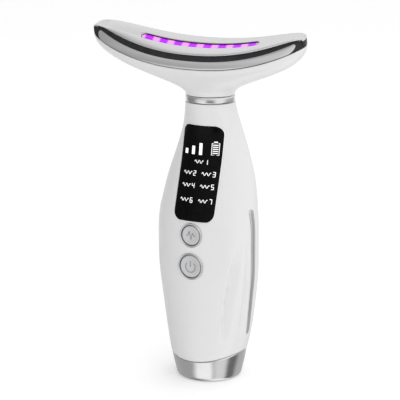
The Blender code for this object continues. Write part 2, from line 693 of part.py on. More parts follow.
def make_head():
    outer = [hull_row(t, 0.0) for t in (0.0, 0.12, 0.26, 0.42, 0.58, 0.73, 0.87, 1.0)]
    inner = [hull_row(t, WALL) for t in (1.0, 0.8, 0.6, 0.4, 0.2, 0.0)]
    ring_solid("head_shell", outer + inner, "white_abs")

    profile = ((0.0, 0.0, 0.15), (0.28, -0.28, 0.0), (0.72, -0.28, -0.1),
               (1.0, 0.0, -GAP - 0.15), (1.0, 1.2, -GAP - 1.8), (0.0, 1.2, 0.15))
    ring = []
    for up, inset, lift in profile:
        row = []
        for a in ring_angles():
            bulge = abs(math.sin(a)) if inset < 0 else 1.0
            row.append(head_world(*head_ring(a, up, inset * bulge, lift)))
        ring.append(row)
    band = ring_solid("head_insulator", ring, "black_gloss")
    for sign, tag in ((-1, "front"), (1, "rear")):
        low, high = 0.14, 0.62
        pocket = grid_solid(f"{tag}_electrode_pocket",
                            electrode_grid(sign, low - 0.07, high + 0.07, 2 * GAP, 2.0),
                            electrode_grid(sign, low - 0.07, high + 0.07, 2 * GAP, -1.1), None, helper=True)
        cut(band, pocket)
        grid_solid(f"{tag}_electrode", electrode_grid(sign, low, high, 0.0, 0.12),
                   electrode_grid(sign, low, high, 0.0, -0.65), "plated_silver")

    long, wide = SLOT_HALF_LENGTH, SLOT_HALF_WIDTH
    top = [[head_world(*head_ring(a, 1.0, 0.0, lift)) for a in ring_angles()] for lift in (0.0, 0.25)]
    top += [[between(a, s, 0.4, long, wide, 0.0) for a in ring_angles()] for s in (0.0, 0.33, 0.66, 1.0)]
    under = [[between(a, s, 2.8, long, wide, h - PLATE_THICKNESS) for a in ring_angles()]
             for s, h in ((1.0, 0.0), (0.5, 0.0), (0.0, 0.3))]
    ring_solid("contact_plate", top + under, "plated_silver")

    slim_long, slim_wide = long - GAP, wide - GAP
    rows = []
    for share, lift in ((0.0, -2.1), (1.0, -2.1), (1.0, -0.35), (0.85, -0.12), (0.0, -0.12)):
        row = []
        for a in ring_angles():
            u, v = slot_point(a, slim_long, slim_wide)
            v = SLOT_V + (v - SLOT_V) * max(share, 0.02)
            u = u * (1.0 if share > 0 else 0.985)
            row.append(head_world(u, v, plate_w(u, v) + lift))
        rows.append(row)
    ring_solid("light_window", rows, "light_window")

    rows = [[between(a, s, 5.6, long + 1.0, wide + 1.0, h) for a in ring_angles(40)]
            for s, h in ((0.0, -2.2), (0.0, -1.8), (0.5, -1.8), (1.0, -1.8), (1.0, -2.2), (0.5, -2.2))]
    ring_solid("heater_film", rows, "heater_amber")

    low, high = SLOT_V - 3.5, SLOT_V + 3.5
    strip, base = ([[head_world(u, v, plate_w(u, SLOT_V) - drop) for v in (low, high)]
                    for u in spaced(-29.0, 29.0, 11)] for drop in (4.6, 5.3))
    grid_solid("led_board", strip, base, "board_green")
    for i in range(LED_COUNT):
        u = (i - (LED_COUNT - 1) / 2) * LED_PITCH
        rise = (plate_w(u + 1, SLOT_V) - plate_w(u - 1, SLOT_V)) / 2
        rows = []
        for h in (-4.3, -2.75):
            rows.append([head_world(u + du, SLOT_V + dv, plate_w(u, SLOT_V) + rise * du + h)
                         for du, dv in ((-1.5, -1.5), (1.5, -1.5), (1.5, 1.5), (-1.5, 1.5))])
        capped_loft(f"led_{i + 1}", rows, "led")


def make_motor():
    x, y, z = MOTOR_CENTRE
    r = MOTOR_RADIUS
    turned_ring("vibration_motor",
                [(0.01, -9.5), (1.05, -9.5), (1.05, -9.5), (r - 0.3, -9.5), (r, -9.2), (r, 3.7), (r - 0.3, 4.0),
                 (1.05, 4.0), (1.05, 0.5), (0.01, 0.5)],
                "steel", MOTOR_CENTRE, "X", 24)
    turned("motor_shaft", [(0.75, 0.8), (0.75, 9.4)], "steel", MOTOR_CENTRE, "X", 16, origin=MOTOR_CENTRE)
    weight = turned("motor_weight", [(3.4, 5.0), (3.4, 8.8)],
                    "steel", MOTOR_CENTRE, "X", 24, origin=MOTOR_CENTRE)
    shave = box("weight_shave", (x + 4.0, y - 5.0, z + 1.35), (x + 10.0, y + 5.0, z + 5.0), None, helper=True)
    bore = turned("weight_bore", [(1.05, 4.0), (1.05, 10.0)], None, MOTOR_CENTRE, "X", 16, helper=True)
    cut(weight, shave, bore)
    cradle = turned_ring("motor_cradle", [(r + GAP, -7.5), (r + 1.3, -7.5), (r + 1.3, 1.0), (r + GAP, 1.0)],
                         "rubber_grey", MOTOR_CENTRE, "X", 24)
    foot = box("cradle_foot", (x - 6.5, y - 2.5, z - 6.3), (x, y + 2.5, z - 4.7), None, helper=True)
    boolean(cradle, foot, "UNION")


def make_leads():
    wire("head_lead",
         [(3.2, -7.5, 79.5), (3.4, -5.0, 82.5), (3.6, 1.5, 95.0), (3.4, 4.0, 108.0), (2.0, 2.5, 120.0),
          (1.0, 2.0, 128.0), (1.0, 2.5, 136.0), (2.0, 1.5, 142.0), (4.0, -2.0, 146.2)],
         0.9, "cable_white")
    wire("battery_lead",
         [(-7.6, -2.3, 76.0), (-6.0, 0.5, 77.6), (-3.0, 2.5, 78.2), (0.0, 3.2, 76.6)],
         0.6, "cable_white")


def main():
    for old in list(bpy.data.objects):
        bpy.data.objects.remove(old)
    make_base()
    make_inside()
    make_handle()
    make_buttons()
    make_neck()
    make_head()
    make_motor()
    make_leads()


main()
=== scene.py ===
"""Looks of the handheld neck and face massager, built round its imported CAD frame.

Lengths are in millimetres and become metres when a mesh is made. The display faces -Y and +Z is up. The
head has a frame of its own: u is across (+X), v runs front to back and w up, leaning forward.
"""

import math

import bmesh
import bpy
from mathutils import Matrix, Vector


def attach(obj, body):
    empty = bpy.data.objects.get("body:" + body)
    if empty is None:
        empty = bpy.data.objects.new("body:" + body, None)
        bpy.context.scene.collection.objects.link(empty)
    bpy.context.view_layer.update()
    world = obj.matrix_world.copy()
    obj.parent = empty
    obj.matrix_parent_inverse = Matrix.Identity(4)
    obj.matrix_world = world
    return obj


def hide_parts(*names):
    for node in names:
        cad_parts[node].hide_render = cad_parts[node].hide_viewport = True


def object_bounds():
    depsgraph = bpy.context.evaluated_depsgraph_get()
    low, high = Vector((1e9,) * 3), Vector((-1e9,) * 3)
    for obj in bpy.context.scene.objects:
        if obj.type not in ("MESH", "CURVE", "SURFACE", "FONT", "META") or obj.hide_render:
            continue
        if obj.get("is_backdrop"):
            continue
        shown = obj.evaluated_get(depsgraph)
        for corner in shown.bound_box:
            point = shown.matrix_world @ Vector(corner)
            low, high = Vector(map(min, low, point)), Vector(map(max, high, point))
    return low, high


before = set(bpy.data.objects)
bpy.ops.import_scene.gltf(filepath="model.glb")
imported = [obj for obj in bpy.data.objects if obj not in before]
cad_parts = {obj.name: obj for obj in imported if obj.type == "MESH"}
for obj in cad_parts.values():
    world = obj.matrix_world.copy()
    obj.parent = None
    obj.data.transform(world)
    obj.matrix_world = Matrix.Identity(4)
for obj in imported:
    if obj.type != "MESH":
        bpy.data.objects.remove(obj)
CAD_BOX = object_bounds()

MM = 0.001
MERGE_DISTANCE = 2e-6
BODY = "massager"

# Grip: height, half width, half depth and centre y
HANDLE_SECTIONS = [
    (0.0, 15.1, 15.1, 0.0), (11.4, 17.5, 17.5, 0.0), (24.0, 20.1, 17.9, 0.3), (38.0, 22.3, 17.8, 0.0),
    (50.0, 23.8, 17.6, -0.6), (62.0, 24.2, 17.2, -1.0), (74.0, 24.1, 16.5, -0.9), (85.0, 22.7, 15.1, 0.7),
    (95.0, 20.6, 13.7, 2.2), (105.0, 17.4, 12.3, 3.1), (115.0, 14.1, 11.2, 2.9), (122.0, 12.3, 10.9, 1.7),
    (128.0, 11.2, 11.0, 0.6),
]
HANDLE_BOTTOM = 11.7
CAP_TOP = 11.4
CAP_WAVE_START = 5.0
SEAM_WAVE = 1.65
SEAM_FADE = 26.0
HANDLE_TOP = 127.4
HANDLE_WALL = 2.0
GRIP_SIDES = 240
BORE_RADIUS = 7.8
NECK_Y = 0.6
NECK_RADIUS = 11.05

# Flutes: edge angle forward of the side at the bottom, sweep at the top, width, depth
FLUTES = [(49.0, 14.0, 15.0, 1.6), (22.0, 0.0, 12.0, 1.3)]
FLUTE_BOTTOM = 20.0
FLUTE_TOP = 67.0
FLUTE_EDGE = 1.5
FLUTE_SWEEP_START = 0.2

# Display and buttons
LENS_HALF_WIDTH = 10.1
LENS_BOTTOM = 75.6
LENS_TOP = 117.6
LENS_CORNER = 4.0
LENS_MIDDLE = (LENS_BOTTOM + LENS_TOP) / 2
PRINT_LIFT, PRINT_THICKNESS, PRINT_LINE = 0.01, 0.05, 0.3
MODE_Z, MODE_RADIUS = 69.3, 5.4
POWER_Z, POWER_RADIUS = 55.1, 6.1
BUTTON_RING_WIDTH = 0.6
SEAT_CLEARANCE, SEAT_DEPTH = 0.12, 1.7
SYMBOL_SINK, SYMBOL_THICKNESS, SYMBOL_LINE = 0.09, 0.06, 0.5

# Side strips
STRIP_TOP, STRIP_BOTTOM = 80.4, 21.6
STRIP_HALF_WIDTH = 1.15

# Head
HEAD_BOTTOM = 130.8
HEAD_ORIGIN = (0.0, -9.6, 145.75)
HEAD_TILT = math.radians(10.6)
HALF_LENGTH = 52.1
FRONT_DEPTH, REAR_DEPTH = 10.2, 13.2
REAR_RISE = 0.15
SQUARENESS = 2.4
RIM_W = 0.2
TIP_RISE, RISE_POWER = 11.1, 2.2
BAND_HEIGHT, BAND_TIP_HEIGHT, BAND_TAPER, BAND_END = 5.8, 3.0, 1.2, 51.6
FRONT_LEAN = (2.8, 2.4)
REAR_LEAN = 1.2
LEAST_DEPTH = 0.25
PLATE_HEIGHT = 7.4
PLATE_EDGE = 0.4
FRONT_CROWN, REAR_CROWN, CROWN_FULLNESS = 2.2, 3.5, 0.8
SLOT_V = 1.6
SLOT_HALF_LENGTH, SLOT_HALF_WIDTH = 29.0, 2.4
SLOT_END = math.radians(16)
HULL_WALL = 1.9
HULL_FOOT, HULL_TIP_FOOT = 5.0, 1.5
HULL_PULL, HULL_TIP_PULL = 4.5, 8.0
RIM_DROP = 0.15
HEAD_SIDES = 220

# Contact strips: half length at the foot, its swell half way up and its growth towards the top; shares of
# the band's height that they cover; and how far they bulge with the band, bulge more and stand out
CONTACT_REACH, CONTACT_SWELL, CONTACT_GROWTH = 46.4, 1.4, 1.2
CONTACT_LOW, CONTACT_HIGH, CONTACT_TIP_RISE = 0.05, 0.6, 0.14
BAND_BULGE, CONTACT_BULGE, CONTACT_STEP = 0.32, 0.04, 0.12

# Light window, in metres: spacing of the lights, shift and slant of the glow
GLOW_PITCH, GLOW_SHIFT, GLOW_SLANT = 0.0073, 0.003, 0.35


# ---------------------------------------------------------------- meshes


def mesh_of(name, shape, merge=False):
    """A mesh in metres from (points, faces) in millimetres, with its faces turned outward."""
    points, faces = shape
    mesh = bpy.data.meshes.new(name)
    mesh.from_pydata([Vector(p) * MM for p in points], [], faces)
    work = bmesh.new()
    work.from_mesh(mesh)
    if merge:
        bmesh.ops.remove_doubles(work, verts=work.verts, dist=MERGE_DISTANCE)
    bmesh.ops.recalc_face_normals(work, faces=work.faces)
    work.to_mesh(mesh)
    work.free()
    return mesh


def placed(name, data):
    """A new object of the scene that holds a mesh, a light or a camera."""
    made = bpy.data.objects.new(name, data)
    bpy.context.scene.collection.objects.link(made)
    return made


def smooth(mesh, sharp):
    """Smooth shading, with a sharp edge where faces meet at more than sharp degrees."""
    mesh.shade_smooth()
    mesh.set_sharp_from_angle(angle=math.radians(sharp))


def piece(name, shape, finish, stands_for=(), body=BODY, sharp=40.0):
    """One shown piece from (points, faces): it rides on a body and stands for CAD nodes."""
    mesh = mesh_of(name, shape, merge=True)
    smooth(mesh, sharp)
    mesh.materials.append(finish)
    made = placed(name, mesh)
    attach(made, body)
    if stands_for:
        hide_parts(*stands_for)
    return made


def joined_rows(rows, closed=False, caps=False):
    """Points and faces of a stack of loops. closed joins last to first; caps fills both ends."""
    count = len(rows[0])
    faces = []
    for i in range(len(rows) if closed else len(rows) - 1):
        below, above = i * count, (i + 1) % len(rows) * count
        for j in range(count):
            k = (j + 1) % count
            faces.append((below + j, below + k, above + k, above + j))
    if caps:
        faces.append(tuple(range(count)))
        faces.append(tuple(range((len(rows) - 1) * count, len(rows) * count)))
    return [p for row in rows for p in row], faces


def turned(profile, centre=(0.0, 0.0, 0.0), axis="Z", sides=96):
    """Loops round an axis: profile is (radius, height) along it."""
    turn = {"Z": Matrix(), "Y": Matrix.Rotation(-math.pi / 2, 4, "X")}[axis]
    angles = [2 * math.pi * (i + 0.5) / sides for i in range(sides)]
    return [[turn @ Vector((r * math.cos(a), r * math.sin(a), h)) + Vector(centre) for a in angles]
            for r, h in profile]


def spaced(low, high, count):
    """Evenly spaced numbers from low to high."""
    return [low + (high - low) * i / (count - 1) for i in range(count)]


# ---------------------------------------------------------------- materials

GRAIN_DEPTH = 0.00002


def new_material(name, colour, roughness, metallic=0.0, **sockets):
    """A Principled material and its node tree; sockets hold settings that are the same all over."""
    made = bpy.data.materials.new(name)
    made.use_nodes = True
    tree = made.node_tree
    shader = tree.nodes["Principled BSDF"]
    shader.inputs["Base Color"].default_value = (*colour, 1.0)
    shader.inputs["Roughness"].default_value = roughness
    shader.inputs["Metallic"].default_value = metallic
    for socket, value in sockets.items():
        shader.inputs[socket.replace("_", " ")].default_value = value
    return made, tree, shader


def noise(tree, scale, detail, stretch):
    """Noise over the object's own coordinates, scale in waves per metre."""
    place = tree.nodes.new("ShaderNodeTexCoord")
    mapping = tree.nodes.new("ShaderNodeMapping")
    mapping.inputs["Scale"].default_value = stretch
    made = tree.nodes.new("ShaderNodeTexNoise")
    made.inputs["Scale"].default_value = scale
    made.inputs["Detail"].default_value = detail
    tree.links.new(place.outputs["Object"], mapping.inputs["Vector"])
    tree.links.new(mapping.outputs["Vector"], made.inputs["Vector"])
    return made.outputs["Fac"]


def worked(tree, operation, *values):
    """The result of a Math node: values are sockets or numbers, in the order of its inputs."""
    made = tree.nodes.new("ShaderNodeMath")
    made.operation = operation
    for socket, value in zip(made.inputs, values):
        if isinstance(value, float):
            socket.default_value = value
        else:
            tree.links.new(value, socket)
    return made.outputs[0]


def ramp(tree, value, stops):
    """A colour ramp: stops are (position, colour or grey)."""
    made = tree.nodes.new("ShaderNodeValToRGB")
    steps = made.color_ramp.elements
    while len(steps) < len(stops):
        steps.new(0.5)
    for step, (position, colour) in zip(steps, stops):
        step.position = position
        step.color = (*colour, 1.0) if isinstance(colour, tuple) else (colour, colour, colour, 1.0)
    tree.links.new(value, made.inputs["Fac"])
    return made.outputs["Color"]


def vary(tree, shader, colour, spread, roughness, swing, scale, stretch):
    """Gives colour and roughness a fine variation from the same noise."""
    fac = noise(tree, scale, 4.0, stretch)
    low = tuple(max(0.0, c - spread) for c in colour)
    high = tuple(min(1.0, c + spread) for c in colour)
    tint = ramp(tree, fac, [(0.3, low), (0.7, high)])
    sheen = ramp(tree, fac, [(0.3, roughness - swing), (0.7, roughness + swing)])
    tree.links.new(tint, shader.inputs["Base Color"])
    tree.links.new(sheen, shader.inputs["Roughness"])


def bump(tree, shader, scale, strength, stretch):
    """A fine grain in the surface."""
    made = tree.nodes.new("ShaderNodeBump")
    made.inputs["Strength"].default_value = strength
    made.inputs["Distance"].default_value = GRAIN_DEPTH
    tree.links.new(noise(tree, scale, 2.0, stretch), made.inputs["Height"])
    tree.links.new(made.outputs["Normal"], shader.inputs["Normal"])


def plain(name, colour, roughness, metallic=0.0, spread=0.02, swing=0.04, scale=900.0, grain=0.0,
          stretch=(1.0, 1.0, 1.0), **sockets):
    """A finish with fine colour and roughness variation, and a grain if one is asked for."""
    made, tree, shader = new_material(name, colour, roughness, metallic, **sockets)
    vary(tree, shader, colour, spread, roughness, swing, scale, stretch)
    if grain:
        bump(tree, shader, scale * 2, grain, stretch)
    return made


def window_material():
    """Light window: eight violet lights showing through a milky pink diffuser."""
    made, tree, shader = new_material("window_glow", (0.3, 0.1, 0.3), 0.35, Specular_IOR_Level=0.15)
    place = tree.nodes.new("ShaderNodeTexCoord")
    split = tree.nodes.new("ShaderNodeSeparateXYZ")
    tree.links.new(place.outputs["Object"], split.inputs["Vector"])
    along = worked(tree, "MULTIPLY_ADD", split.outputs["Y"], GLOW_SLANT, split.outputs["X"])
    shifted = worked(tree, "ADD", along, GLOW_SHIFT)
    turn = worked(tree, "MULTIPLY", shifted, 2 * math.pi / GLOW_PITCH)
    wave = worked(tree, "SINE", worked(tree, "ADD", turn, -math.pi / 2))
    half = worked(tree, "MULTIPLY_ADD", wave, 0.5, 0.5)
    colour = ramp(tree, half, [(0.25, (1.0, 0.4, 1.0)), (0.6, (0.52, 0.004, 1.0))])
    glow = ramp(tree, half, [(0.3, 0.75), (0.62, 0.9)])
    body = ramp(tree, half, [(0.25, (0.3, 0.1, 0.3)), (0.6, (0.12, 0.001, 0.25))])
    tree.links.new(body, shader.inputs["Base Color"])
    tree.links.new(colour, shader.inputs["Emission Color"])
    tree.links.new(glow, shader.inputs["Emission Strength"])
    return made


WHITE = plain("white_plastic", (0.79, 0.79, 0.795), 0.3, spread=0.004, swing=0.02, scale=220.0, grain=0.02,
              Coat_Weight=0.25, Coat_Roughness=0.12)
SILVER = plain("satin_silver", (0.8, 0.8, 0.81), 0.24, 1.0, spread=0.006, swing=0.012, scale=160.0)
PLATE = plain("plate_silver", (0.82, 0.82, 0.83), 0.25, 0.92, spread=0.004, swing=0.006, scale=160.0)
CHROME = plain("trim_chrome", (0.84, 0.84, 0.85), 0.13, 1.0, spread=0.01, swing=0.02, scale=800.0)
BRUSHED = plain("brushed_cap", (0.9, 0.9, 0.91), 0.17, 1.0, spread=0.02, swing=0.02, scale=260.0,
                stretch=(0.15, 0.15, 14.0), Anisotropic=0.3)
BLACK = plain("band_black", (0.018, 0.018, 0.02), 0.2, spread=0.005, swing=0.03, scale=300.0,
              Specular_IOR_Level=0.35)
LENS = plain("display_glass", (0.0025, 0.0025, 0.003), 0.09, spread=0.001, swing=0.015, scale=500.0,
             Specular_IOR_Level=0.1)
# The display's rim: white plastic, painted lighter than the body as a painted highlight along the edge of
# the display's recess.
RIM_WHITE_HIGHLIGHT = plain("display_rim_white_highlight", (0.9, 0.9, 0.9), 0.25, spread=0.01, swing=0.03)
PRINT = plain("display_print", (0.95, 0.95, 0.96), 0.5, spread=0.02, swing=0.05, Emission_Strength=0.35,
              Emission_Color=(1.0, 1.0, 1.0, 1.0))
BUTTON = plain("button_satin", (0.66, 0.66, 0.67), 0.34, 0.55, spread=0.02, swing=0.04, scale=1200.0,
               grain=0.08)
SYMBOL = plain("symbol_grey", (0.3, 0.3, 0.31), 0.4, spread=0.03, swing=0.05, scale=1500.0)
STRIP = plain("strip_grey", (0.5, 0.5, 0.51), 0.4, 0.5, spread=0.02, swing=0.05, scale=500.0,
              stretch=(1.0, 1.0, 0.1))
GREY = plain("grey_plastic", (0.34, 0.34, 0.35), 0.5, spread=0.03, swing=0.06, scale=900.0, grain=0.15)
WINDOW = window_material()

# ---------------------------------------------------------------- grip


def section(z):
    """Half width, half depth and centre y of the grip at a height, smooth through the sections."""
    rows = HANDLE_SECTIONS
    last = len(rows) - 1
    i = max(1, next((n for n, row in enumerate(rows) if row[0] >= z), last))
    (z0, *a), (z1, *b) = rows[i - 1], rows[i]
    before, after = rows[max(0, i - 2)], rows[min(last, i + 1)]
    span = z1 - z0
    t = (z - z0) / span
    values = []
    for n in range(3):
        slope0 = (b[n] - before[n + 1]) / (z1 - before[0])
        slope1 = (after[n + 1] - a[n]) / (after[0] - z0)
        values.append((2 * t ** 3 - 3 * t ** 2 + 1) * a[n] + (t ** 3 - 2 * t ** 2 + t) * span * slope0
                      + (3 * t ** 2 - 2 * t ** 3) * b[n] + (t ** 3 - t ** 2) * span * slope1)
    return values


def flute_depth(angle, z):
    """How far the flutes cut in: each has a crisp front edge and fades out behind it."""
    forward = math.degrees(math.asin(-math.sin(angle)))
    if not FLUTE_BOTTOM < z < FLUTE_TOP or forward < 0:
        return 0.0
    along = (z - FLUTE_BOTTOM) / (FLUTE_TOP - FLUTE_BOTTOM)
    fade = math.sin(math.pi * along ** 0.8) ** 0.8
    depth = 0.0
    for edge, sweep, width, most in FLUTES:
        swept = max(0.0, along - FLUTE_SWEEP_START) / (1 - FLUTE_SWEEP_START)
        here = edge - sweep * swept ** 2 - forward
        if -FLUTE_EDGE < here < width:
            if here < FLUTE_EDGE:
                shape = (here + FLUTE_EDGE) / (2 * FLUTE_EDGE)
            else:
                shape = (width - here) / (width - FLUTE_EDGE)
            depth = max(depth, most * fade * shape * shape * (3 - 2 * shape))
    return depth


def seam_lift(angle):
    """The seam between cap and grip is low at the front and back and high at the sides."""
    return SEAM_WAVE * math.cos(2 * angle)


def grip_point(angle, z, inset=0.0):
    """A point of the grip's wall; the flutes don't reach its inside."""
    half_width, half_depth, centre = section(z)
    groove = flute_depth(angle, z) if inset < HANDLE_WALL else 0.0
    return Vector(((half_width - inset - groove) * math.cos(angle),
                   centre + (half_depth - inset - groove) * math.sin(angle),
                   z + seam_lift(angle) * max(0.0, (SEAM_FADE - z) / (SEAM_FADE - HANDLE_BOTTOM)) ** 2))


def on_front(x, z, lift=0.0):
    """The point of the grip's front surface at x and z, moved out by lift."""
    half_width, half_depth, centre = section(z)
    share = max(-1.0, min(1.0, x / half_width))
    return Vector((x, centre - half_depth * math.sqrt(1 - share * share) - lift, z))


def on_side(side, y, z, lift=0.0):
    """The point of the grip's side surface at y and z, moved out by lift."""
    half_width, half_depth, centre = section(z)
    share = max(-1.0, min(1.0, (y - centre) / half_depth))
    x = half_width * math.sqrt(1 - share * share)
    return Vector((side * (x + lift), y, z))


def rounded_outline(half_width, low, high, corner, steps=10, along=24):
    """Outline of an upright rounded rectangle, as (x, z) points, with points along its sides too."""
    corners = []
    for x, z, start in ((half_width, high, 0), (-half_width, high, 90),
                        (-half_width, low, 180), (half_width, low, 270)):
        cx = x - math.copysign(corner, x)
        cz = z - corner if z == high else z + corner
        turns = [math.radians(start + 90 * i / steps) for i in range(steps + 1)]
        corners.append([(cx + corner * math.cos(a), cz + corner * math.sin(a)) for a in turns])
    points = []
    for run, after in zip(corners, corners[1:] + corners[:1]):
        points += run
        (x0, z0), (x1, z1) = run[-1], after[0]
        points += [(x0 + (x1 - x0) * i / along, z0 + (z1 - z0) * i / along) for i in range(1, along)]
    return points


def lens_outline(grow):
    """The display's outline, larger by grow all round."""
    low, high = LENS_BOTTOM - grow, LENS_TOP + grow
    return rounded_outline(LENS_HALF_WIDTH + grow, low, high, LENS_CORNER + grow)


def front_patch(outlines):
    """Rows of a piece set in the front wall: each is an outline and how far it stands out."""
    return [[on_front(x, z, lift) for x, z in outline] for outline, lift in outlines]


def shrunk(outline, share):
    """The outline drawn in towards the display's middle."""
    return [(x * share, LENS_MIDDLE + (z - LENS_MIDDLE) * share) for x, z in outline]


def cutter(name, rows):
    """A closed helper that isn't shown, for a Boolean."""
    return placed(name, mesh_of(name, joined_rows(rows, caps=True)))


def carve(target, *cutters):
    """Cuts the helpers out of the target for good, and removes them."""
    for helper in cutters:
        change = target.modifiers.new("Cut", "BOOLEAN")
        change.operation = "DIFFERENCE"
        change.object = helper
        change.solver = "EXACT"
    graph = bpy.context.evaluated_depsgraph_get()
    solid = bpy.data.meshes.new_from_object(target.evaluated_get(graph))
    target.modifiers.clear()
    target.data = solid
    for helper in cutters:
        bpy.data.objects.remove(helper)
    smooth(solid, 32.0)


def strip_y(z):
    """Where a side strip's middle line runs."""
    return -3.5 + 3.8 * ((STRIP_TOP - z) / (STRIP_TOP - STRIP_BOTTOM)) ** 2.5


def strip_outline(half, count=44):
    """Outline of a side strip with round ends, as (y, z) points."""
    heights = spaced(STRIP_BOTTOM + STRIP_HALF_WIDTH, STRIP_TOP - STRIP_HALF_WIDTH, count)
    arc = [math.pi * i / 12 for i in range(1, 12)]
    top, bottom = heights[-1], heights[0]
    points = [(strip_y(z) + half, z) for z in heights]
    points += [(strip_y(top) + half * math.cos(a), top + half * math.sin(a)) for a in arc]
    points += [(strip_y(z) - half, z) for z in reversed(heights)]
    points += [(strip_y(bottom) - half * math.cos(a), bottom - half * math.sin(a)) for a in arc]
    return points


def strip_rows(side, profile):
    """Loops of a piece in a side wall: profile is (growth of the half width, how far it stands out)."""
    rows = []
    for grow, lift in profile:
        outline = strip_outline(STRIP_HALF_WIDTH + grow)
        rows.append([on_side(side, y, z, lift) for y, z in outline])
    return rows


def make_grip():
    turns = [2 * math.pi * i / GRIP_SIDES for i in range(GRIP_SIDES)]

    def row(z, inset=0.0):
        return [grip_point(a, z, inset) for a in turns]

    rows = [row(HANDLE_BOTTOM, 0.3), row(HANDLE_BOTTOM + 0.08, 0.08)]
    rows += [row(z) for z in spaced(HANDLE_BOTTOM + 0.25, HANDLE_TOP - 0.2, 170)]
    rows += [row(HANDLE_TOP - 0.06, 0.06), row(HANDLE_TOP, 0.25)]
    for z in (HANDLE_TOP, 122.0):
        rows.append([Vector((BORE_RADIUS * math.cos(a), NECK_Y + BORE_RADIUS * math.sin(a), z))
                     for a in turns])
    rows += [row(z, HANDLE_WALL) for z in spaced(118.0, HANDLE_BOTTOM, 30)]
    shell = piece("grip_shell", joined_rows(rows, closed=True), WHITE, ["handle_shell"])

    outline = lens_outline(0.5)
    shares = spaced(0.03, 1.0, 24)
    rows = front_patch([(shrunk(outline, share), 3.0) for share in shares])
    rows += front_patch([(shrunk(outline, share), -1.35) for share in reversed(shares)])
    cutters = [cutter("lens_cut", rows)]
    for z, radius in ((MODE_Z, MODE_RADIUS), (POWER_Z, POWER_RADIUS)):
        middle = (0.0, on_front(0.0, z).y, z)
        seat, bore = radius + SEAT_CLEARANCE, radius - BUTTON_RING_WIDTH
        cutters.append(cutter("seat_cut", turned([(seat, -5.0), (seat, SEAT_DEPTH)], middle, "Y")))
        cutters.append(cutter("bore_cut", turned([(bore, -5.0), (bore, 6.0)], middle, "Y")))
    for side in (-1, 1):
        profile = [(-1.1, 2.0), (-0.35, 2.0), (0.36, 2.0), (0.36, -1.25), (-0.35, -1.25), (-1.1, -1.25)]
        cutters.append(cutter("strip_cut", strip_rows(side, profile)))
    carve(shell, *cutters)


def make_display():
    profile = [(0.44, -1.2), (0.44, 0.02), (0.38, 0.16), (0.12, 0.16), (0.04, 0.04), (0.04, -1.2)]
    rows = front_patch([(lens_outline(grow), lift) for grow, lift in profile])
    # The rim takes the lighter white finish, a painted highlight round the display.
    piece("display_rim", joined_rows(rows, closed=True), RIM_WHITE_HIGHLIGHT)

    outline, face = lens_outline(-0.02), lens_outline(-0.4)
    rows = front_patch([(shrunk(outline, share), -1.2) for share in spaced(0.03, 1.0, 16)])
    rows += front_patch([(outline, -0.2), (lens_outline(-0.15), -0.06), (face, 0.0)])
    rows += front_patch([(shrunk(face, share), 0.0) for share in spaced(0.97, 0.03, 30)])
    piece("display_glass", joined_rows(rows, caps=True), LENS, ["display_lens"])


def stroke(route, width, place, closed=False):
    """A thin line along (x, z) points; place(x, z, top) gives a point of its foot or its top."""
    points, faces = [], []
    count = len(route)
    for i, (x, z) in enumerate(route):
        ax, az = route[i - 1] if i or closed else route[i]
        bx, bz = route[(i + 1) % count] if closed or i < count - 1 else route[i]
        dx, dz = bx - ax, bz - az
        size = math.hypot(dx, dz) or 1.0
        nx, nz = -dz / size * width / 2, dx / size * width / 2
        for sx, sz, top in ((nx, nz, False), (nx, nz, True), (-nx, -nz, True), (-nx, -nz, False)):
            points.append(place(x + sx, z + sz, top))
    for i in range(count if closed else count - 1):
        a, b = i * 4, (i + 1) % count * 4
        for k in range(4):
            n = (k + 1) % 4
            faces.append((a + k, a + n, b + n, b + k))
    if not closed:
        end = (count - 1) * 4
        faces += [(0, 1, 2, 3), (end, end + 1, end + 2, end + 3)]
    return points, faces


def printed(x, z, top):
    """A point of the display's print, on the front surface."""
    return on_front(x, z, PRINT_LIFT + (PRINT_THICKNESS if top else 0.0))


def on_button(button_z):
    """The place function of a symbol that lies flat on a button."""
    face = on_front(0.0, button_z).y + SYMBOL_SINK

    def place(x, z, top):
        return Vector((x, face - (SYMBOL_THICKNESS if top else 0.0), button_z + z))

    return place


def together(parts):
    """Joins lists of (points, faces) into one."""
    points, faces = [], []
    for some, more in parts:
        faces += [tuple(n + len(points) for n in face) for face in more]
        points += some
    return points, faces


def bar(x, z, width, height):
    """A solid printed block whose middle is at x and z."""
    return stroke([(x, z - height / 2), (x, z), (x, z + height / 2)], width, printed)


def digit(number, x, z, size):
    """A seven-segment digit: 1 is the top segment, 2 to 6 go round clockwise and 7 is the middle one."""
    lit = {1: "23", 2: "12754", 3: "12734", 4: "6723", 5: "16734", 6: "165437", 7: "123"}[number]
    w, h = size * 0.27, size * 0.5
    ends = {"1": ((-w, h), (w, h)), "2": ((w, h), (w, 0)), "3": ((w, 0), (w, -h)), "4": ((w, -h), (-w, -h)),
            "5": ((-w, -h), (-w, 0)), "6": ((-w, 0), (-w, h)), "7": ((-w, 0), (w, 0))}
    return [stroke([(x + ax, z + az), (x + bx, z + bz)], size * 0.15, printed)
            for (ax, az), (bx, bz) in (ends[segment] for segment in lit)]


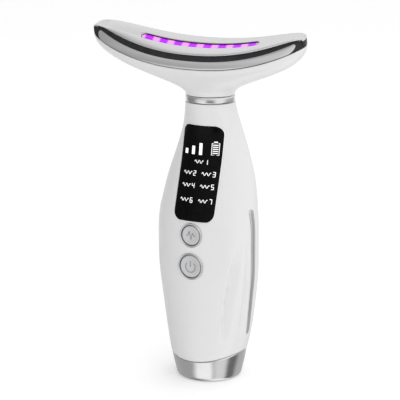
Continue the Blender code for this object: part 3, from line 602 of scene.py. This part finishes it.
def make_print():
    """What the display shows: rising bars, a battery and seven numbered modes, each with a short mark."""
    parts = []
    for i in range(3):
        height = 2.2 + 1.5 * i
        parts.append(bar(-7.2 + 3.75 * i, 104.5 + height / 2, 1.55, height))
    x, z, w, h = 7.1, 107.4, 1.6, 2.6
    battery = [(x - w, z - h), (x + w, z - h), (x + w, z + h), (x - w, z + h)]
    parts.append(stroke(battery, PRINT_LINE, printed, closed=True))
    parts.append(bar(x, z + h + 0.5, 1.5, 0.6))
    parts += [bar(x, z - 1.8 + 0.9 * i, 2.3, 0.4) for i in range(5)]
    places = [(1.0, 101.5)] + [(x, z) for z in (96.4, 91.0, 84.7) for x in (-4.1, 5.2)]
    for number, (x, z) in enumerate(places, 1):
        wave = [(x - 3.2 + 0.36 * i, z + 0.7 * math.sin(i * math.pi / 2.5)) for i in range(13)]
        parts.append(stroke(wave, PRINT_LINE, printed))
        parts += digit(number, x + 2.5, z, 2.0)
    piece("display_marks", together(parts), PRINT, sharp=30.0)


def make_buttons():
    for z, radius, tag in ((MODE_Z, MODE_RADIUS, "mode"), (POWER_Z, POWER_RADIUS, "power")):
        middle = (0.0, on_front(0.0, z).y, z)
        profile = [(0.0, 1.4), (0.0, 0.0), (0.05, -0.16), (0.16, -0.27), (0.3, -0.3),
                   (0.42, -0.27), (0.55, -0.16), (BUTTON_RING_WIDTH, 0.0), (BUTTON_RING_WIDTH, 1.4)]
        rows = turned([(radius - inset, height) for inset, height in profile], middle, "Y")
        piece(f"{tag}_ring", joined_rows(rows, closed=True), CHROME, [f"{tag}_bezel"])

        cap = radius - 0.95
        profile = [(0.02, 1.6), (cap - 1.2, 1.6), (cap - 1.2, 4.1), (cap + 0.8, 4.1), (cap + 0.8, 3.5),
                   (cap, 3.5), (cap, 0.35), (cap - 0.06, 0.1), (cap - 0.2, -0.05), (cap - 0.45, -0.12),
                   (cap - 0.8, -0.12), (cap - 1.3, -0.04), (cap - 2.2, 0.04), (cap - 3.2, 0.08),
                   (0.02, 0.1)]
        shape = joined_rows(turned(profile, middle, "Y"), caps=True)
        piece(f"{tag}_cap", shape, BUTTON, [f"{tag}_button"], f"{tag}_button")

    pulse = [(-2.5, 0.0), (-1.5, 0.0), (-0.8, 2.0), (0.2, -2.0), (0.9, 1.2), (1.4, 0.0), (2.5, 0.0)]
    shape = stroke(pulse, SYMBOL_LINE, on_button(MODE_Z))
    piece("mode_symbol", shape, SYMBOL, body="mode_button", sharp=30.0)

    turns = [math.radians(a) for a in range(38, 323, 12)]
    arc = [(2.4 * math.sin(a), 2.4 * math.cos(a) - 0.3) for a in turns]
    place = on_button(POWER_Z)
    parts = [stroke(arc, SYMBOL_LINE, place), stroke([(0.0, -0.1), (0.0, 2.6)], SYMBOL_LINE, place)]
    piece("power_symbol", together(parts), SYMBOL, body="power_button", sharp=30.0)


def make_strips():
    rim = [(0.1, -1.0), (0.1, 0.0), (0.0, 0.1), (-0.3, 0.1), (-0.4, 0.0), (-0.4, -1.0)]
    inlay = [(-0.45, -1.0), (-0.45, -0.1), (-0.6, -0.02), (-0.85, 0.0), (-1.1, 0.0), (-1.1, -1.0)]
    for side, tag in ((-1, "left"), (1, "right")):
        piece(f"strip_rim_{tag}", joined_rows(strip_rows(side, rim), closed=True), CHROME)
        shape = joined_rows(strip_rows(side, inlay), closed=True)
        piece(f"strip_inlay_{tag}", shape, STRIP, [f"side_strip_{tag}"])


def make_cap_and_ring():
    profile = [(12.8, 0.3), (13.5, 0.05), (14.1, 0.15), (14.6, 0.5), (14.95, 1.1), (15.15, 1.8),
               (15.35, 2.6), (15.9, 5.0), (16.15, 6.0), (16.4, 7.0), (16.75, 8.4), (17.0, 9.6),
               (17.2, 10.6), (17.27, 11.0), (17.2, 11.25), (17.0, 11.35), (15.9, 11.35), (14.4, 5.0),
               (13.9, 2.6), (13.6, 1.8), (12.8, 1.8)]
    rows = turned(profile, sides=160)
    for row, (_, height) in zip(rows, profile):
        share = max(0.0, (height - CAP_WAVE_START) / (CAP_TOP - CAP_WAVE_START)) ** 2
        for i, point in enumerate(row):
            point.z += seam_lift(2 * math.pi * (i + 0.5) / len(row)) * share
    piece("grip_cap", joined_rows(rows, closed=True), BRUSHED, ["end_cap"])

    profile = [(BORE_RADIUS, 127.75), (10.8, 127.75), (11.0, 127.8), (11.1, 127.95), (11.12, 128.4),
               (11.12, 129.8), (11.08, 130.2), (10.98, 130.38), (10.8, 130.45), (BORE_RADIUS, 130.45)]
    rows = turned(profile, (0.0, NECK_Y, 0.0), sides=160)
    piece("neck_trim", joined_rows(rows, closed=True), CHROME, ["neck_ring"])


# ---------------------------------------------------------------- head


def head_world(u, v, w):
    """A point of the head's own frame in the massager's frame."""
    x, y, z = HEAD_ORIGIN
    c, s = math.cos(HEAD_TILT), math.sin(HEAD_TILT)
    return Vector((x + u, y + v * c - w * s, z + v * s + w * c))


def rim_w(share):
    """Height of the shell's rim; share is 0 in the middle of the head and 1 at a tip."""
    return RIM_W + TIP_RISE * share ** RISE_POWER


def fade(share):
    """1 along the head, falling to 0 just before a tip."""
    return max(0.0, 1 - (share * HALF_LENGTH / BAND_END) ** 14) ** 0.55


def band_w(share):
    """Height of the black band."""
    full = BAND_HEIGHT - BAND_TAPER * share ** 4
    return BAND_TIP_HEIGHT + (full - BAND_TIP_HEIGHT) * fade(share)


def lean(share, side, front):
    """How far the plate's edge stands in from the rim."""
    if front:
        return (FRONT_LEAN[0] + FRONT_LEAN[1] * share ** 2) * fade(share)
    return REAR_LEAN * fade(share) * side


def head_ring(angle, up=0.0, inset=0.0, lift=0.0):
    """A point of the head's outline: up is 0 on the shell's rim and 1 on the plate's edge."""
    c, s = math.cos(angle), math.sin(angle)
    share = abs(c) ** (2 / SQUARENESS)
    side = abs(s) ** (2 / SQUARENESS)
    depth = FRONT_DEPTH if s < 0 else REAR_DEPTH
    leaned = (depth - inset) * side - up * lean(share, side, s < 0)
    v = math.copysign(max(leaned, LEAST_DEPTH * depth * side), s)
    u = (HALF_LENGTH - inset) * share
    along = min(1.0, u / HALF_LENGTH)
    w = rim_w(along) + up * band_w(along) + REAR_RISE * max(0.0, v) + lift
    return Vector((math.copysign(u, c), v, w))


def ring_angles():
    """Angles of the points round the head, half a step off its axes."""
    return [2 * math.pi * (i + 0.5) / HEAD_SIDES for i in range(HEAD_SIDES)]


def plate_w(u, v):
    """Height of the contact plate's top at a place."""
    share = min(1.0, abs(u) / HALF_LENGTH)
    side = (1 - share ** SQUARENESS) ** (1 / SQUARENESS)
    spine = SLOT_V * side
    front = v < spine
    depth = FRONT_DEPTH if front else REAR_DEPTH
    edge = max(depth * side - lean(share, side, front), LEAST_DEPTH * depth * side)
    reach = abs(v - spine) / max(0.01, edge + spine if front else edge - spine)
    drop = (1 - min(1.0, reach) ** (FRONT_CROWN if front else REAR_CROWN)) ** CROWN_FULLNESS
    low = band_w(share) + PLATE_EDGE
    crown = max(0.0, PLATE_HEIGHT * (1 - share ** 6) ** 0.5 - low)
    return rim_w(share) + low + crown * drop + REAR_RISE * max(0.0, v)


def slot_point(angle, half_length, half_width):
    """A long slot with round ends, at the angles of the head's outline."""
    straight = half_length - half_width
    quarter = math.pi / 2
    c, s = math.cos(angle), math.sin(angle)
    from_tip = math.atan2(abs(s), abs(c))
    if from_tip < SLOT_END:
        turn = from_tip / SLOT_END * quarter
        u, v = straight + half_width * math.cos(turn), half_width * math.sin(turn)
    else:
        u, v = straight * (quarter - from_tip) / (quarter - SLOT_END), half_width
    return math.copysign(u, c), SLOT_V + math.copysign(v, s)


def between(angle, share, inset, grow, lift):
    """A point of the plate between its edge (share 0) and its slot (share 1)."""
    edge = head_ring(angle, 1.0, inset)
    u, v = slot_point(angle, SLOT_HALF_LENGTH + grow, SLOT_HALF_WIDTH + grow)
    u, v = edge.x + (u - edge.x) * share, edge.y + (v - edge.y) * share
    return head_world(u, v, plate_w(u, v) + lift)


def hull_row(t, inset):
    """A loop of the head's shell: t is 0 at the neck and 1 at the rim."""
    radius = NECK_RADIUS - inset
    row = []
    for a in ring_angles():
        foot = Vector((radius * math.cos(a), NECK_Y + radius * math.sin(a), HEAD_BOTTOM))
        ring = head_ring(a, 0.0, inset, -RIM_DROP)
        top = head_world(*ring)
        tip = abs(math.cos(a)) ** 1.6
        pull = HULL_PULL + (HULL_TIP_PULL - 0.8 * inset) * tip
        below = head_world(ring.x, ring.y, ring.z - pull)
        above = foot + Vector((0.0, 0.0, HULL_FOOT + HULL_TIP_FOOT * tip + 0.4 * inset))
        row.append((1 - t) ** 3 * foot + 3 * (1 - t) ** 2 * t * above
                   + 3 * (1 - t) * t ** 2 * below + t ** 3 * top)
    return row


def head_rows(profile):
    """Loops round the head: each is (up, inset, lift); an inset below 0 fades out at the tips."""
    rows = []
    for up, inset, lift in profile:
        row = []
        for a in ring_angles():
            share = abs(math.sin(a)) if inset < 0 else 1.0
            row.append(head_world(*head_ring(a, up, inset * share, lift)))
        rows.append(row)
    return rows


def contact_grid(sign, out, columns=121, rows=13):
    """A grid over the head's front (sign -1) or back wall for a contact strip, out from the band."""
    grid = []
    for i in range(rows):
        t = i / (rows - 1)
        swell = 1 - abs(2 * t - 1) ** 3
        reach = (CONTACT_REACH + CONTACT_SWELL * swell + CONTACT_GROWTH * t) / HALF_LENGTH
        line = []
        for j in range(columns):
            x = -1 + 2 * j / (columns - 1)
            x = math.sin(x * math.pi / 2) * 0.35 + x * 0.65
            c = math.copysign(min(1.0, abs(x) * reach) ** (SQUARENESS / 2), x)
            angle = sign * math.acos(c)
            high = CONTACT_HIGH + CONTACT_TIP_RISE * abs(x) ** 6
            up = CONTACT_LOW + (high - CONTACT_LOW) * t
            bulge = BAND_BULGE * math.sin(math.pi * up) + CONTACT_BULGE * (1 - (2 * t - 1) ** 2)
            step = CONTACT_STEP * min(1.0, 6 * min(t, 1 - t), 14 * (1 - abs(x)))
            inset = -out - step - bulge * abs(math.sin(angle))
            line.append(head_world(*head_ring(angle, up, inset)))
        grid.append(line)
    return grid


def thick(outside, inside):
    """Points and faces of a patch between two matching grids."""
    rows, columns = len(outside), len(outside[0])
    points = [p for row in outside for p in row] + [p for row in inside for p in row]
    under = rows * columns
    faces = []
    for i in range(rows - 1):
        for j in range(columns - 1):
            a = i * columns + j
            face = (a, a + 1, a + columns + 1, a + columns)
            faces += [face, tuple(n + under for n in reversed(face))]
    rim = [(0, j) for j in range(columns)] + [(i, columns - 1) for i in range(1, rows)]
    rim += [(rows - 1, j) for j in range(columns - 2, -1, -1)] + [(i, 0) for i in range(rows - 2, 0, -1)]
    rim = [i * columns + j for i, j in rim]
    faces += [(b, a, a + under, b + under) for a, b in zip(rim, rim[1:] + rim[:1])]
    return points, faces


def make_shell_and_band():
    rows = [hull_row(t, 0.0) for t in spaced(0.0, 0.985, 48)]
    rows += head_rows([(0.0, 0.02, -0.3), (0.0, 0.12, -0.14), (0.0, 0.32, -0.06), (0.0, 0.55, -0.1),
                       (0.0, 0.7, -0.25)])
    rows += [hull_row(t, HULL_WALL) for t in spaced(0.97, 0.0, 20)]
    piece("head_hull", joined_rows(rows, closed=True), WHITE, ["head_shell"], sharp=50.0)

    profile = [(0.0, 1.5, 0.05), (0.0, 0.35, 0.05), (0.02, 0.22, 0.1), (0.1, -0.12, 0.0),
               (0.28, -0.28, 0.0), (0.5, -0.3, 0.0), (0.72, -0.26, 0.0), (0.9, -0.05, 0.0),
               (1.0, 0.1, -0.16), (1.0, 0.5, -0.2), (1.0, 1.4, -1.2)]
    shape = joined_rows(head_rows(profile), closed=True)
    piece("head_band", shape, BLACK, ["head_insulator"])

    for sign, tag in ((-1, "front"), (1, "rear")):
        shape = thick(contact_grid(sign, 0.02), contact_grid(sign, -0.5))
        piece(f"{tag}_contact_strip", shape, SILVER, [f"{tag}_electrode"])


def make_plate():
    angles = ring_angles()
    rows = head_rows([(1.0, 0.6, -0.05), (1.0, 0.08, -0.04), (1.0, 0.02, 0.08), (1.0, 0.06, 0.24)])
    shares = (0.0, 0.04, 0.1, *spaced(0.18, 0.94, 18), 1.0)
    rows += [[between(a, share, 0.2, 0.12, 0.0) for a in angles] for share in shares]
    rows.append([between(a, 1.0, 0.2, 0.02, -0.12) for a in angles])
    rows.append([between(a, 1.0, 0.2, 0.0, -0.9) for a in angles])
    rows += [[between(a, share, 2.8, 0.0, -1.0) for a in angles] for share in (0.9, 0.5, 0.1)]
    shape = joined_rows(rows, closed=True)
    piece("treatment_plate", shape, PLATE, ["contact_plate"], sharp=50.0)


def make_window():
    angles = ring_angles()
    # A black ring down in the gap round the light window: painted shade of the shadow gap between the
    # window and the plate.
    profile = ((-0.03, -1.4), (-0.03, -0.12), (-0.18, -0.12), (-0.18, -1.4))
    rows = [[between(a, 1.0, 0.2, grow, lift) for a in angles] for grow, lift in profile]
    piece("window_shadow_ring", joined_rows(rows, closed=True), BLACK)

    profile = ((0.2, 1.0, -1.6), (0.2, 1.0, -0.4), (0.28, 1.0, -0.3), (0.4, 1.0, -0.26),
               (0.4, 0.6, -0.22), (0.4, 0.25, -0.2), (0.4, 0.03, -0.2), (0.4, 0.03, -1.6))
    rows = []
    for shrink, share, lift in profile:
        row = []
        for a in angles:
            u, v = slot_point(a, SLOT_HALF_LENGTH - shrink, SLOT_HALF_WIDTH - shrink)
            v = SLOT_V + (v - SLOT_V) * share
            row.append(head_world(u, v, plate_w(u, SLOT_V) + lift))
        rows.append(row)
    piece("window_strip", joined_rows(rows, closed=True), WINDOW, ["light_window"])


# ---------------------------------------------------------------- CAD nodes that stay

KEPT = {
    "grey_plastic": GREY,
    "steel": plain("plain_steel", (0.6, 0.6, 0.61), 0.32, 1.0,
                   spread=0.03, swing=0.06, scale=1200.0, grain=0.1),
    "chip_black": plain("chip_epoxy", (0.035, 0.035, 0.037), 0.45,
                        spread=0.01, swing=0.06, scale=1500.0, grain=0.2),
    "board_green": plain("board_mask", (0.04, 0.2, 0.09), 0.4,
                         spread=0.02, swing=0.06, scale=700.0, grain=0.1),
    "battery_blue": plain("battery_wrap", (0.07, 0.2, 0.5), 0.35,
                          spread=0.02, swing=0.05, scale=400.0, grain=0.1),
    "heater_amber": plain("heater_film_amber", (0.65, 0.33, 0.07), 0.35,
                          spread=0.05, swing=0.05, scale=500.0),
    "rubber_grey": plain("soft_rubber", (0.1, 0.1, 0.1), 0.75,
                         spread=0.015, swing=0.06, scale=1500.0, grain=0.2),
    "copper": plain("bare_copper", (0.75, 0.4, 0.22), 0.28, 1.0,
                    spread=0.04, swing=0.06, scale=900.0, grain=0.1),
    "cable_white": plain("lead_pvc", (0.75, 0.75, 0.75), 0.45,
                         spread=0.03, swing=0.05, scale=900.0, grain=0.1),
    "led": plain("led_lens", (0.6, 0.1, 0.9), 0.25, spread=0.04, swing=0.05, scale=1200.0),
}


def finish_kept_nodes():
    """Gives each CAD node that stays visible its detailed finish in place of the flat one."""
    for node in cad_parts.values():
        if node.hide_render:
            continue
        for place in node.material_slots:
            name = place.material.name.split(".")[0] if place.material else "grey_plastic"
            place.material = KEPT.get(name, GREY)


# ---------------------------------------------------------------- stage

# Brightness by direction: share of a turn from -X through -Y, +X and +Y
SKY = [(0.0, 0.2), (0.15, 0.2), (0.3, 0.75), (0.5, 1.0), (0.7, 0.9), (0.85, 0.4), (1.0, 0.2)]
LOWER_PANELS = [(0.0, 0.35), (0.14, 0.34), (0.2, 0.93), (0.34, 0.95), (0.375, 0.5), (0.41, 0.68),
                (0.49, 0.68), (0.53, 0.14), (0.59, 0.13), (0.64, 0.42), (0.8, 0.48), (1.0, 0.35)]
UPPER_PANELS = [(0.0, 0.24), (0.1, 0.28), (0.17, 0.86), (0.25, 0.9), (0.3, 0.24), (0.35, 0.22),
                (0.41, 0.86), (0.49, 0.9), (0.57, 0.4), (0.68, 0.4), (0.75, 0.85), (0.92, 0.85),
                (1.0, 0.24)]
MIDDLE_PANELS = [(0.0, 0.26), (0.13, 0.28), (0.18, 0.46), (0.27, 0.7), (0.42, 0.9), (0.62, 0.8), (0.9, 0.7),
                 (1.0, 0.26)]
HIGH_PANELS = [(0.0, 0.5), (0.06, 0.34), (0.13, 0.36), (0.18, 0.72), (0.27, 0.8), (0.5, 1.0), (0.62, 0.85),
               (0.9, 0.82), (1.0, 0.5)]
TOP_PANELS = [(0.0, 0.32), (0.25, 0.22), (0.5, 0.45), (0.75, 0.6), (1.0, 0.32)]

# The wall's panels from its foot up, in metres: where each row begins to take over and where it has
PANEL_ROWS = [(UPPER_PANELS, -0.2, -0.08), (MIDDLE_PANELS, 0.05, 0.12), (HIGH_PANELS, 0.22, 0.42),
              (TOP_PANELS, 0.7, 0.96)]
WALL_PROFILE = [(0.45, -0.6), (0.45, 0.8), (0.4, 0.9), (0.2, 0.98), (0.001, 1.0)]
WALL_SIDES = 96
FLOOR_HALF, FLOOR_DROP = 6.0, 0.0002

# Lights, in metres and watts: name, place, size, power
LIGHTS = [("key", (0.5, -0.5, 0.75), 0.5, 0.9), ("fill", (-0.7, -0.5, 0.35), 0.6, 0.04),
          ("back", (0.1, 0.8, 0.6), 0.6, 0.4)]
LIGHT_AIM = (0.0, 0.0, 0.09)

# Camera, in metres, and its lens in millimetres; it aims a little left of and below the target
CAMERA_TURN = math.radians(28.0)
CAMERA_RISE = math.radians(13.2)
CAMERA_DISTANCE = 0.74595
CAMERA_LENS = 148.16
TARGET = (0.0, 0.0, 0.085)
AIM_LEFT, AIM_DOWN = 0.004318, 0.003054


def sky_share(tree, output):
    """Share of a turn from -X through -Y, +X and +Y, and height, of a direction or place."""
    split = tree.nodes.new("ShaderNodeSeparateXYZ")
    tree.links.new(output, split.inputs["Vector"])
    turn = worked(tree, "ARCTAN2", split.outputs["Y"], split.outputs["X"])
    share = worked(tree, "MULTIPLY_ADD", turn, 0.5 / math.pi, 0.5)
    return share, split.outputs["Z"]


def blended(tree, factor, low, high):
    """A mix of two colours, each a socket or a grey."""
    made = tree.nodes.new("ShaderNodeMix")
    made.data_type = "RGBA"
    tree.links.new(factor, made.inputs["Factor"])
    for key, value in (("A", low), ("B", high)):
        if isinstance(value, float):
            made.inputs[key].default_value = (value, value, value, 1.0)
        else:
            tree.links.new(value, made.inputs[key])
    return made.outputs["Result"]


def climb(tree, height, low, high):
    """0 below a height, 1 above another and a slope between them."""
    made = tree.nodes.new("ShaderNodeMapRange")
    made.inputs["From Min"].default_value = low
    made.inputs["From Max"].default_value = high
    tree.links.new(height, made.inputs["Value"])
    return made.outputs["Result"]


def make_floor():
    """A pale paper floor. Mirror-like pieces see the studio wall in its place."""
    half = FLOOR_HALF
    mesh = bpy.data.meshes.new("floor")
    corners = [(-half, -half, 0), (half, -half, 0), (half, half, 0), (-half, half, 0)]
    mesh.from_pydata(corners, [], [(0, 1, 2, 3)])
    paper = plain("floor_paper", (0.95, 0.95, 0.95), 0.7, spread=0.005, swing=0.03, scale=40.0,
                  Emission_Strength=0.2, Emission_Color=(1.0, 1.0, 1.0, 1.0))
    mesh.materials.append(paper)
    made = placed("floor", mesh)
    made.location.z = -FLOOR_DROP
    made.visible_glossy = False
    made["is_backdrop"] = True


def make_wall():
    """A round studio wall that only reflections see: bright panels with grey gaps between them."""
    angles = [2 * math.pi * i / WALL_SIDES for i in range(WALL_SIDES)]
    rows = [[(radius * math.cos(a), radius * math.sin(a), z) for a in angles] for radius, z in WALL_PROFILE]
    points, faces = joined_rows(rows)
    mesh = bpy.data.meshes.new("studio_wall")
    mesh.from_pydata(points, [], faces)
    made = placed("studio_wall", mesh)
    made.visible_camera = False
    made.visible_diffuse = False
    made.visible_shadow = False
    made.visible_transmission = False
    made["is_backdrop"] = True

    panels = bpy.data.materials.new("studio_panels")
    panels.use_nodes = True
    tree = panels.node_tree
    tree.nodes.clear()
    place = tree.nodes.new("ShaderNodeTexCoord")
    share, height = sky_share(tree, place.outputs["Object"])
    colour = ramp(tree, share, LOWER_PANELS)
    for stops, low, high in PANEL_ROWS:
        colour = blended(tree, climb(tree, height, low, high), colour, ramp(tree, share, stops))
    light = tree.nodes.new("ShaderNodeEmission")
    tree.links.new(colour, light.inputs["Color"])
    output = tree.nodes.new("ShaderNodeOutputMaterial")
    tree.links.new(light.outputs["Emission"], output.inputs["Surface"])
    mesh.materials.append(panels)


def make_sky():
    """Soft light from all round, stronger from the right and from above; white where the camera sees it."""
    world = bpy.data.worlds.new("studio")
    bpy.context.scene.world = world
    world.use_nodes = True
    tree = world.node_tree
    place = tree.nodes.new("ShaderNodeTexCoord")
    share, height = sky_share(tree, place.outputs["Generated"])
    above = ramp(tree, height, [(0.3, 0.0), (0.8, 1.0)])
    colour = blended(tree, above, ramp(tree, share, SKY), 0.95)
    ray = tree.nodes.new("ShaderNodeLightPath")
    seen = blended(tree, ray.outputs["Is Camera Ray"], colour, 1.0)
    tree.links.new(seen, tree.nodes["Background"].inputs["Color"])
    bpy.context.scene.view_settings.view_transform = "Standard"


def aimed(made, spot, aim):
    """Puts a light or camera at spot, looking at aim."""
    made.location = spot
    made.rotation_mode = "QUATERNION"
    made.rotation_quaternion = (Vector(aim) - Vector(spot)).to_track_quat("-Z", "Y")


def make_lights():
    for name, spot, size, power in LIGHTS:
        light = bpy.data.lights.new(name, "AREA")
        light.energy = power
        light.size = size
        aimed(placed(name, light), spot, LIGHT_AIM)


def make_camera():
    turn, rise = CAMERA_TURN, CAMERA_RISE
    back = Vector((math.sin(turn) * math.cos(rise), -math.cos(turn) * math.cos(rise), math.sin(rise)))
    right = Vector((math.cos(turn), math.sin(turn), 0.0))
    up = back.cross(right)
    camera = bpy.data.cameras.new("camera")
    camera.lens = CAMERA_LENS
    camera.sensor_width = 36.0
    made = placed("camera", camera)
    spot = Vector(TARGET) + back * CAMERA_DISTANCE
    aimed(made, spot, Vector(TARGET) - right * AIM_LEFT - up * AIM_DOWN)
    bpy.context.scene.camera = made


make_camera()
make_floor()
make_wall()
make_sky()
make_lights()
make_grip()
make_display()
make_print()
make_buttons()
make_strips()
make_cap_and_ring()
make_shell_and_band()
make_plate()
make_window()
finish_kept_nodes()

boxes = {"cad": CAD_BOX, "visual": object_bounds()}
{name: [list(corner) for corner in box] for name, box in boxes.items()}
